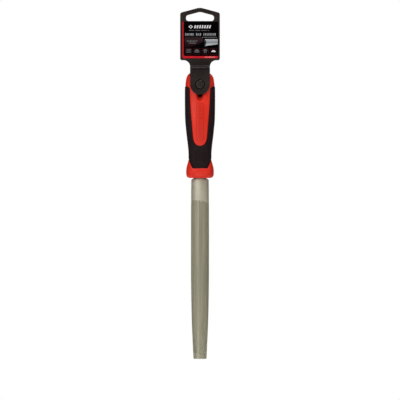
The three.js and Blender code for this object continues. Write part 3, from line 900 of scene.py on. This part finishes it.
def make_core():
    core = handle_body("core", CORE_ROWS, relief=core_relief)
    heart = handle_body("heart", CORE_ROWS, -GRIP_DEPTH - SEAM, sides=96)
    pocket = cut(plate("pocket", [grip_outline(0)], -THROUGH, THROUGH), heart)
    cut(core, pocket, plate("slot", [mouth_outline(0)], -THROUGH, THROUGH))
    cut(core, hang_slot_mouth(-1), hang_slot_mouth(1), tang_socket(), engraving())
    finish_piece(core, "file", [red_plastic()], ["handle_core"])


def make_grip():
    grip = handle_body("grip", GRIP_ROWS, relief=grip_relief)
    heart = handle_body("heart", CORE_ROWS, -GRIP_DEPTH, sides=96)
    keep_inside(grip, plate("mask", [grip_outline(0)], -THROUGH, THROUGH))
    cut(grip, heart)
    finish_piece(grip, "file", [soft_rubber()], ["grip_sleeve"])


# ---- hanger

PLATE_HALF = 1.2
PLATE_BOTTOM = PLATE_TOP - 58.8
PLATE_CORNER = 2.2
ROOF_SLOPE = 0.268
ROOF_ROUNDING = 3.2
PEG_HALF_WIDTH = 15.55
PEG_BOTTOM = -10.1
PEG_END = 3.4
PEG_ROUNDING = 1.9
NECK_FILLET = 7.0
CEILING = RIVET + 18.5
LEDGE = CEILING + 2.1
CHAMFER = 2.1
YOKE_CORNER = 3.5
CREASE = CEILING - 1.5
CREASE_HALF_WIDTH = 9.4
CREASE_DEPTH = 0.75
CREASE_HALF_HEIGHT = 0.62
WELL_RADIUS = 5.6
WELL_DEPTH = 1.1
WELL_FLARE = 0.3
HOLE_RADIUS = 3.55
LABEL_RECESS = 0.6
LABEL_ROOM = 0.15
RECESS_CORNER = 0.9
# Half the size of a cutter that takes in the yoke's whole width and depth.
WIDE = 20


def half_apex(height, reach):
    """The right half of a roof's rounded apex, from its slope up to the middle line."""
    slope = ROOF_SLOPE * reach
    return quadratic((reach, height - slope), (reach / 2, height - slope / 2), (0, height - slope / 2))


def hanger_outline():
    side = PLATE_HALF_WIDTH
    eaves = PLATE_TOP - ROOF_SLOPE * side
    fillet_x, fillet_z = LEG_HALF_WIDTH + NECK_FILLET, PLATE_BOTTOM - NECK_FILLET
    foot = CEILING + 0.5
    right = [(LEG_HALF_WIDTH, foot)] + arc(fillet_x, fillet_z, NECK_FILLET, 180, 90, 28)
    right += arc(side - PLATE_CORNER, PLATE_BOTTOM + PLATE_CORNER, PLATE_CORNER, -90, 0, 8)
    roof_start = (side - PLATE_CORNER, eaves + ROOF_SLOPE * PLATE_CORNER)
    right += quadratic((side, eaves - PLATE_CORNER), (side, eaves), roof_start)
    right += half_apex(PLATE_TOP, ROOF_ROUNDING)
    return clean(right + mirrored(right))


def peg_slot_outline():
    eave_x = PEG_HALF_WIDTH - PEG_END
    eave_z = -ROOF_SLOPE * eave_x
    middle = (eave_z + PEG_BOTTOM) / 2
    right = quadratic((eave_x, PEG_BOTTOM), (PEG_HALF_WIDTH, PEG_BOTTOM), (PEG_HALF_WIDTH, middle))
    right += quadratic((PEG_HALF_WIDTH, middle), (PEG_HALF_WIDTH, eave_z - 0.6), (eave_x, eave_z))
    right += half_apex(0, PEG_ROUNDING)
    return clean(right + mirrored(right))


def yoke_outline():
    """The yoke from the side, in Y and Z, with the foot of the neck on top."""
    bottom = hanger_low[2] - 1
    corner = YOKE_CORNER
    edge, fold, flare = LEG_OUTER, LEDGE - CHAMFER, LEDGE + 0.3
    right = [(edge, bottom)]
    right += quadratic((edge, fold - 0.35), (edge, fold), (edge - 0.3, fold + 0.3), 5)
    brow = edge - CHAMFER
    right += quadratic((brow + 0.4, LEDGE - 0.4), (brow, LEDGE), (brow - 0.6, LEDGE), 5)
    neck = PLATE_HALF - 0.02
    right += quadratic((PLATE_HALF + 0.9, flare), (neck, flare + 0.05), (neck, flare + 1.1))
    right += [(PLATE_HALF - 0.6, flare + 1.8)]
    inner = arc(-LEG_INNER + corner, CEILING - corner, corner, 180, 90)
    inner += arc(LEG_INNER - corner, CEILING - corner, corner, 90, 0)
    return right + mirrored(right) + [(-LEG_INNER, bottom)] + inner + [(LEG_INNER, bottom)]


def leg_trim(low, high, longer=0.0):
    """The shape of one leg from the front, round at its lower end."""
    top = RIVET + 14
    outline = [(-LEG_HALF_WIDTH, top)] + arc(0, RIVET - longer, LEG_HALF_WIDTH, 180, 360, 40)
    outline += [(LEG_HALF_WIDTH, top)]
    return plate("trim", [outline], low, high, radius=0.85, steps=6)


def flared_hole(inner, outer, radius, flare, side):
    """A round cutter whose mouth opens in a quarter circle at the outer face."""
    profile = [(0, inner), (radius, inner), (radius, outer - flare)]
    for angle in np.linspace(0, math.pi / 2, 5)[1:]:
        profile.append((radius + flare * (1 - math.cos(angle)), outer - flare + flare * math.sin(angle)))
    profile += [(radius + flare, outer + 2), (0, outer + 2)]
    return lathe("cutter", [(r, side * y) for r, y in profile])


def make_yoke():
    yoke = plate("yoke", [yoke_outline()], -LEG_HALF_WIDTH, LEG_HALF_WIDTH, radius=0.4, seen=SIDE)
    low, high = RIVET + 12, LEDGE + 8
    keep = plate("keep", [[(-WIDE, low), (WIDE, low), (WIDE, high), (-WIDE, high)]], -WIDE, WIDE)
    join(keep, leg_trim(-LEG_OUTER - 0.03, -LEG_INNER + 0.03))
    join(keep, leg_trim(LEG_INNER - 0.03, LEG_OUTER + 0.03, REAR_LEG_LONGER))
    return keep_inside(yoke, keep)


def label_recess(side):
    left, bottom, right, top = label_low[0], label_low[2], label_high[0], label_high[2]
    room = LABEL_ROOM
    outline = rounded_rectangle(left - room, bottom - room, right + room, top + room, RECESS_CORNER)
    near, far = sorted((side * (PLATE_HALF - LABEL_RECESS), side * 5))
    return plate("recess", [outline], near, far)


def crease(side):
    angles = np.linspace(0, 2 * math.pi, 20, endpoint=False)
    depths = side * LEG_OUTER + CREASE_DEPTH * np.cos(angles)
    heights = CREASE + CREASE_HALF_HEIGHT * np.sin(angles)
    groove = np.stack([depths, heights], axis=1)
    return plate("crease", [groove], -CREASE_HALF_WIDTH, CREASE_HALF_WIDTH, radius=0.3, seen=SIDE)


def make_hanger(plastic):
    loops = [hanger_outline(), peg_slot_outline()]
    hanger = plate("hanger_body", loops, -PLATE_HALF, PLATE_HALF, radius=0.7)
    join(hanger, make_yoke())
    well_floor = LEG_OUTER - WELL_DEPTH
    for side in (-1, 1):
        cut(hanger, flared_hole(well_floor, LEG_OUTER, WELL_RADIUS, WELL_FLARE, side))
        cut(hanger, label_recess(side))
        cut(hanger, crease(side))
    cut(hanger, lathe("hole", [(0, -WIDE), (HOLE_RADIUS, -WIDE), (HOLE_RADIUS, WIDE), (0, WIDE)]))
    finish_piece(hanger, "hanger", [plastic], ["hanger"])


# ---- snap rivet

HEAD_RADIUS = pin_high[0]
HEAD_TOP = socket_high[1]
HEAD_UNDER = LEG_OUTER - WELL_DEPTH + 0.1
SHANK_RADIUS = 3.25


HEAD_EDGE = HEAD_TOP - 0.8
# (inwards from the rim, above the edge) over the bevelled shoulder of a head.
HEAD_SHOULDER = [(0, 0), (0.04, 0.13), (0.15, 0.25), (0.3, 0.36), (0.7, 0.61), (0.86, 0.67), (1.05, 0.7)]


def rivet_head():
    """From the underside's rim up over the bevelled shoulder and the shallow dome to the middle."""
    points = [(HEAD_RADIUS - 0.12, HEAD_UNDER), (HEAD_RADIUS, HEAD_UNDER + 0.12)]
    points += [(HEAD_RADIUS - inward, HEAD_EDGE + above) for inward, above in HEAD_SHOULDER]
    inner, brim = points[-1]
    for t in np.linspace(0, 1, 7)[1:]:
        points.append((inner * (1 - t), brim + (HEAD_TOP - brim) * (1 - (1 - t) ** 2)))
    return points


def make_rivet(plastic):
    socket = lathe("rivet_socket", [
        (0, 10.4), (2.4, 10.4), (2.4, -6.6), (2.0, -7.0), (2.0, -8.1), (2.4, -8.6),
        (3.05, -8.6), (SHANK_RADIUS, -8.4), (SHANK_RADIUS, HEAD_UNDER), *rivet_head(),
    ])
    head = [(r, -y) for r, y in rivet_head()[::-1]]
    pin = lathe("rivet_pin", [
        *head, (SHANK_RADIUS, -HEAD_UNDER), (SHANK_RADIUS, -9.4), (3.05, -9.2), (1.8, -9.2),
        (1.8, -6.0), (2.2, -6.0), (2.2, -5.5), (1.8, -3.5), (1.8, 8.6), (0.9, 9.6), (0, 9.6),
    ])
    finish_piece(socket, "rivet", [plastic], ["rivet_socket_half"])
    finish_piece(pin, "rivet", [plastic], ["rivet_pin_half"])


# ---- labels

INK = 0.03
LEFT, RIGHT = label_low[0], label_high[0]
TOP, BOTTOM = label_high[2], label_low[2]
FRONT_FACE = label_low[1]
BACK_FACE = -label_low[1]
BAND = 2.4
SIDE_BAND = 2.0
CARD_CORNER = 0.8


def ink_shape(loop, side=-1, layer=1):
    """A printed shape on the front label, or on the back one where side is 1, as its reader sees it."""
    face = FRONT_FACE if side < 0 else BACK_FACE
    if side > 0:
        loop = [(-x, z) for x, z in loop]
    low, high = sorted((face, face + side * INK * layer))
    return plate("ink", [loop], low, high)


def bar(left, right, bottom, top, side=-1, layer=1, round_off=0.3):
    radius = min(round_off, (right - left) * 0.45, (top - bottom) * 0.45)
    return ink_shape(rounded_rectangle(left, bottom, right, top, radius, 4), side, layer)


def blocks(left, right, bottom, top, widths, space, side=-1, layer=1):
    """A line of plain blocks of repeating widths, where a label carries writing."""
    bars, place, k = [], left, 0
    while place + widths[k % len(widths)] <= right:
        width = widths[k % len(widths)]
        if width > 0:
            bars.append(bar(place, place + width, bottom, top, side, layer, 0.15))
        place += abs(width) + space
        k += 1
    return bars


def slanted(left, right, bottom, top, lean):
    return ink_shape([(left, bottom), (right, bottom), (right + lean, top), (left + lean, top)])


def red_band(side=-1):
    """The L along the left and bottom edges, with a round inner corner."""
    corner = 2.2
    inner_x, inner_z = LEFT + SIDE_BAND, BOTTOM + BAND
    loop = [(LEFT + 0.2, TOP - 0.15)] + arc(LEFT + 0.85, BOTTOM + 0.8, 0.65, 180, 270, 5)
    loop += [(RIGHT - 0.3, BOTTOM + 0.15), (RIGHT - 0.3, inner_z)]
    loop += arc(inner_x + corner, inner_z + corner, corner, 270, 180, 8) + [(inner_x, TOP - 0.15)]
    return ink_shape(loop, side)


def ring(centre_x, centre_z, half_x, half_z, line):
    """A rounded frame on the front label."""
    left, right, bottom, top = centre_x - half_x, centre_x + half_x, centre_z - half_z, centre_z + half_z
    outer = rounded_rectangle(left, bottom, right, top, 0.9)
    hole = rounded_rectangle(left + line, bottom + line, right - line, top - line, 0.6)
    return plate("ink", [outer, hole], FRONT_FACE - INK, FRONT_FACE)


def half_round(centre_x, base, half_width, rise):
    radius = (half_width ** 2 + rise ** 2) / (2 * rise)
    spread = math.degrees(math.asin(half_width / radius))
    return ink_shape(arc(centre_x, base + rise - radius, radius, 90 - spread, 90 + spread, 14))


def finish_ink(name, parts, material, replaced=()):
    finish_piece(gather(name, parts), "hanger", [material], replaced, sharp=30)


def make_front_label():
    outline = rounded_rectangle(LEFT, BOTTOM, RIGHT, TOP, CARD_CORNER)
    card = plate("label_front_card", [outline], label_low[1], label_high[1], radius=0.08, steps=3)
    black = ink("label_black", (0.0006, 0.0004, 0.0007), 0.2, roughness=0.5, specular=0.01)
    finish_piece(card, "hanger", [black], ["label_front"])
    reds = [(0.0, (0.25, 0.012, 0.015)), (0.55, (0.30, 0.010, 0.014)), (1.0, (0.43, 0.011, 0.017))]
    finish_ink("label_red_band", [red_band()], graded_ink("label_red", reds, LEFT, LEFT + 3.5, "X"))

    loops = [lozenge(TOP - 5.6, 2.5, 2.1), lozenge(TOP - 5.6, 1.3, 1.1)]
    loops = [[(x - 10.3, z) for x, z in loop] for loop in loops]
    white = [plate("ink", loops, FRONT_FACE - INK, FRONT_FACE)]
    for left in np.arange(-6.7, 11.2, 2.75):
        white.append(slanted(left, left + 1.6, TOP - 7.3, TOP - 3.9, 0.9))
    white += [half_round(15.0, BOTTOM + 7.0, 2.4, 2.1)]
    finish_ink("label_white_print", white, ink("label_white", (0.47, 0.47, 0.48), 0.05))

    line = (TOP - 15.4, TOP - 12.7)
    title = blocks(-16.6, -5.4, *line, [0.9, 1.4, 0.7], 0.75)
    title += blocks(-4.3, 2.4, *line, [1.5, 0.8], 0.8)
    title += blocks(3.8, 17.6, *line, [0.8, 1.4, 0.9], 0.75)
    finish_ink("label_title_print", title, ink("label_pale_grey", (0.19, 0.19, 0.2), 0.1))

    small = blocks(-12.4, 10.6, TOP - 10.0, TOP - 9.3, [1.9, 1.1, 2.4, -0.5], 0.25)
    small += blocks(2.4, 18.8, TOP - 17.8, TOP - 16.9, [1.3, 0.8, 1.6], 0.3)
    small += blocks(-14.4, -2.4, TOP - 22.0, TOP - 20.8, [1.5, 1.0, 1.9, 0.8], 0.3, layer=2)
    small += blocks(-12.4, -4.0, TOP - 24.2, TOP - 23.1, [1.0, 1.6, 1.2], 0.3, layer=2)
    finish_ink("label_small_print", small, ink("label_grey", (0.085, 0.085, 0.09), 0.15))

    high, low = TOP - 16.4, TOP - 29.0
    swoosh = [(-16.9, high), (1.0, high)]
    swoosh += bezier((1.0, high), (4.6, TOP - 19.2), (4.2, TOP - 22.4), (1.6, TOP - 23.2), 10)
    swoosh += [(-5.0, TOP - 26.2), (-12.0, TOP - 28.4), (-16.9, low)]
    tones = [
        (0.0, (0.004, 0.001, 0.001)), (0.35, (0.013, 0.004, 0.006)),
        (0.8, (0.020, 0.011, 0.013)), (1.0, (0.009, 0.006, 0.007)),
    ]
    shade = graded_ink("label_shade", tones, low, high)
    finish_ink("label_shade_print", [ink_shape(swoosh)], shade)

    high, low = TOP - 19.4, TOP - 27.0
    picture = [(5.2, high), (RIGHT - 0.5, high), (RIGHT - 0.5, TOP - 25.0), (5.2, low)]
    picture += bezier((5.2, low), (7.6, TOP - 24.9), (7.7, TOP - 21.8), (5.2, high), 8)[1:-1]
    metal = [
        (0.0, (0.30, 0.32, 0.33)), (0.3, (0.32, 0.34, 0.35)), (0.5, (0.15, 0.16, 0.17)),
        (0.75, (0.24, 0.25, 0.27)), (1.0, (0.35, 0.36, 0.38)),
    ]
    finish_ink("label_file_print", [ink_shape(picture)], graded_ink("label_metal", metal, low, high))
    end = [(4.0, TOP - 20.0), (5.0, TOP - 20.0)]
    end += bezier((5.0, TOP - 20.0), (7.2, TOP - 22.0), (7.2, TOP - 24.6), (5.0, TOP - 26.6), 10)
    end += bezier((4.6, TOP - 26.6), (5.6, TOP - 24.6), (5.4, TOP - 22.0), (4.0, TOP - 20.0), 10)
    finish_ink("label_end_print", [ink_shape(end)], ink("label_end", (0.02, 0.03, 0.03), 0.2))

    frames = [ring(x, BOTTOM + 7.7, 3.7, 3.5, 0.45) for x in (-12.6, -3.4, 5.8, 15.0)]
    finish_ink("label_frame_print", frames, ink("label_dark_red", (0.035, 0.005, 0.007), 0.15))

    marks = [bar(-15.2, -10.0, BOTTOM + level, BOTTOM + level + 0.7) for level in (6.3, 7.8, 9.3)]
    marks += [half_round(-3.4, BOTTOM + 7.8, 2.6, 2.1), bar(-6.0, -0.8, BOTTOM + 6.4, BOTTOM + 7.3)]
    marks += [half_round(5.8, BOTTOM + 8.5, 2.5, 1.6), ring(5.8, BOTTOM + 7.0, 1.5, 1.1, 0.55)]
    finish_ink("label_icon_print", marks, bpy.data.materials["label_grey"])

    pale = blocks(5.4, 17.4, BOTTOM + 0.8, BOTTOM + 1.8, [1.2, 0.8, 1.5], 0.3, layer=2)
    finish_ink("label_pink_print", pale, ink("label_pink", (0.66, 0.16, 0.17), 0.08))


def make_back_label():
    outline = rounded_rectangle(LEFT, BOTTOM, RIGHT, TOP, CARD_CORNER)
    card = plate("label_back_card", [outline], -label_high[1], -label_low[1], radius=0.08, steps=3)
    finish_piece(card, "hanger", [bpy.data.materials["label_black"]], ["label_back"])
    finish_ink("back_red_band", [red_band(1)], bpy.data.materials["label_red"])
    lines = []
    for k, end in enumerate((15.0, 11.5, 15.5, 9.0, 14.0, 12.5, 6.5)):
        top = TOP - 4.5 - k * 3.1
        lines += blocks(-15.5, end, top - 1.1, top, [1.6, 1.0, 2.1, 1.3], 0.35, side=1)
    finish_ink("back_small_print", lines, bpy.data.materials["label_grey"])
    patch = [bar(-15.5, 15.5, BOTTOM + 5.0, BOTTOM + 12.5, side=1, round_off=0.8)]
    finish_ink("back_white_patch", patch, bpy.data.materials["label_white"])


# ---- stage, light and camera, in metres

FLOOR_RADIUS = 1.75
FLOOR_DROP = 0.115
SEEN_WIDTH = 0.4444
HEADROOM = 0.0082
CAMERA_DISTANCE = 6.0


def make_stage():
    work = bmesh.new()
    bmesh.ops.create_circle(work, cap_ends=True, radius=FLOOR_RADIUS, segments=128)
    floor = built("floor", work)
    floor.location = (0, 0, TIP * MM - FLOOR_DROP)
    nodes = Nodes("floor_paper", roughness=0.9, specular=0.2)
    set_inputs(nodes.shader, {"Base Color": (0.9, 0.9, 0.9, 1)})
    floor.data.materials.append(nodes.material)


def area_light(name, place, target, size, power, colour=(1, 1, 1)):
    data = bpy.data.lights.new(name, "AREA")
    data.shape = "RECTANGLE"
    data.size, data.size_y = size
    data.energy = power
    data.color = colour
    lamp = add_object(name, data)
    lamp.location = place
    lamp.visible_camera = False
    lamp.rotation_euler = (Vector(target) - Vector(place)).to_track_quat("-Z", "Y").to_euler()


def make_lights():
    middle = (0, 0, -0.19)
    area_light("key", (-0.9, -1.35, 0.5), middle, (0.9, 1.2), 20, (1.0, 0.985, 0.95))
    area_light("fill", (1.15, -1.0, 0.35), middle, (0.6, 1.2), 5, (1.0, 0.96, 0.84))
    area_light("top", (0.2, -0.5, 1.2), middle, (0.5, 0.4), 12)
    area_light("low", (-0.08, -0.6, -0.44), (0, 0, -0.17), (0.3, 0.08), 1.1)
    area_light("back", (0.3, 1.5, 0.6), middle, (0.9, 1.1), 24)
    world = bpy.data.worlds.new("studio")
    bpy.context.scene.world = world
    world.use_nodes = True
    nodes, links = world.node_tree.nodes, world.node_tree.links
    soft = nodes["Background"]
    set_inputs(soft, {"Color": (0.9, 0.93, 1.0, 1), "Strength": 0.06})
    white = nodes.new("ShaderNodeBackground")
    set_inputs(white, {"Color": (1, 1, 1, 1)})
    seen = nodes.new("ShaderNodeLightPath").outputs["Is Camera Ray"]
    blend = nodes.new("ShaderNodeMixShader")
    links.new(seen, blend.inputs["Fac"])
    links.new(soft.outputs["Background"], blend.inputs[1])
    links.new(white.outputs["Background"], blend.inputs[2])
    links.new(blend.outputs["Shader"], nodes["World Output"].inputs["Surface"])


def make_camera():
    """Straight on from the front, with a lens long enough to show just the width that is wanted."""
    data = bpy.data.cameras.new("camera")
    data.sensor_width = 36
    data.lens = data.sensor_width * CAMERA_DISTANCE / SEEN_WIDTH
    data.clip_end = 40
    camera = add_object("camera", data)
    camera.location = (0, -CAMERA_DISTANCE, PLATE_TOP * MM + HEADROOM - SEEN_WIDTH / 2)
    camera.rotation_euler = (math.pi / 2, 0, 0)
    bpy.context.scene.camera = camera


make_camera()
make_stage()
make_lights()
moulded = hanger_plastic()
make_hanger(moulded)
make_rivet(moulded)
make_front_label()
make_back_label()
make_core()
make_grip()
make_blade()
bpy.context.scene.view_settings.view_transform = "Standard"
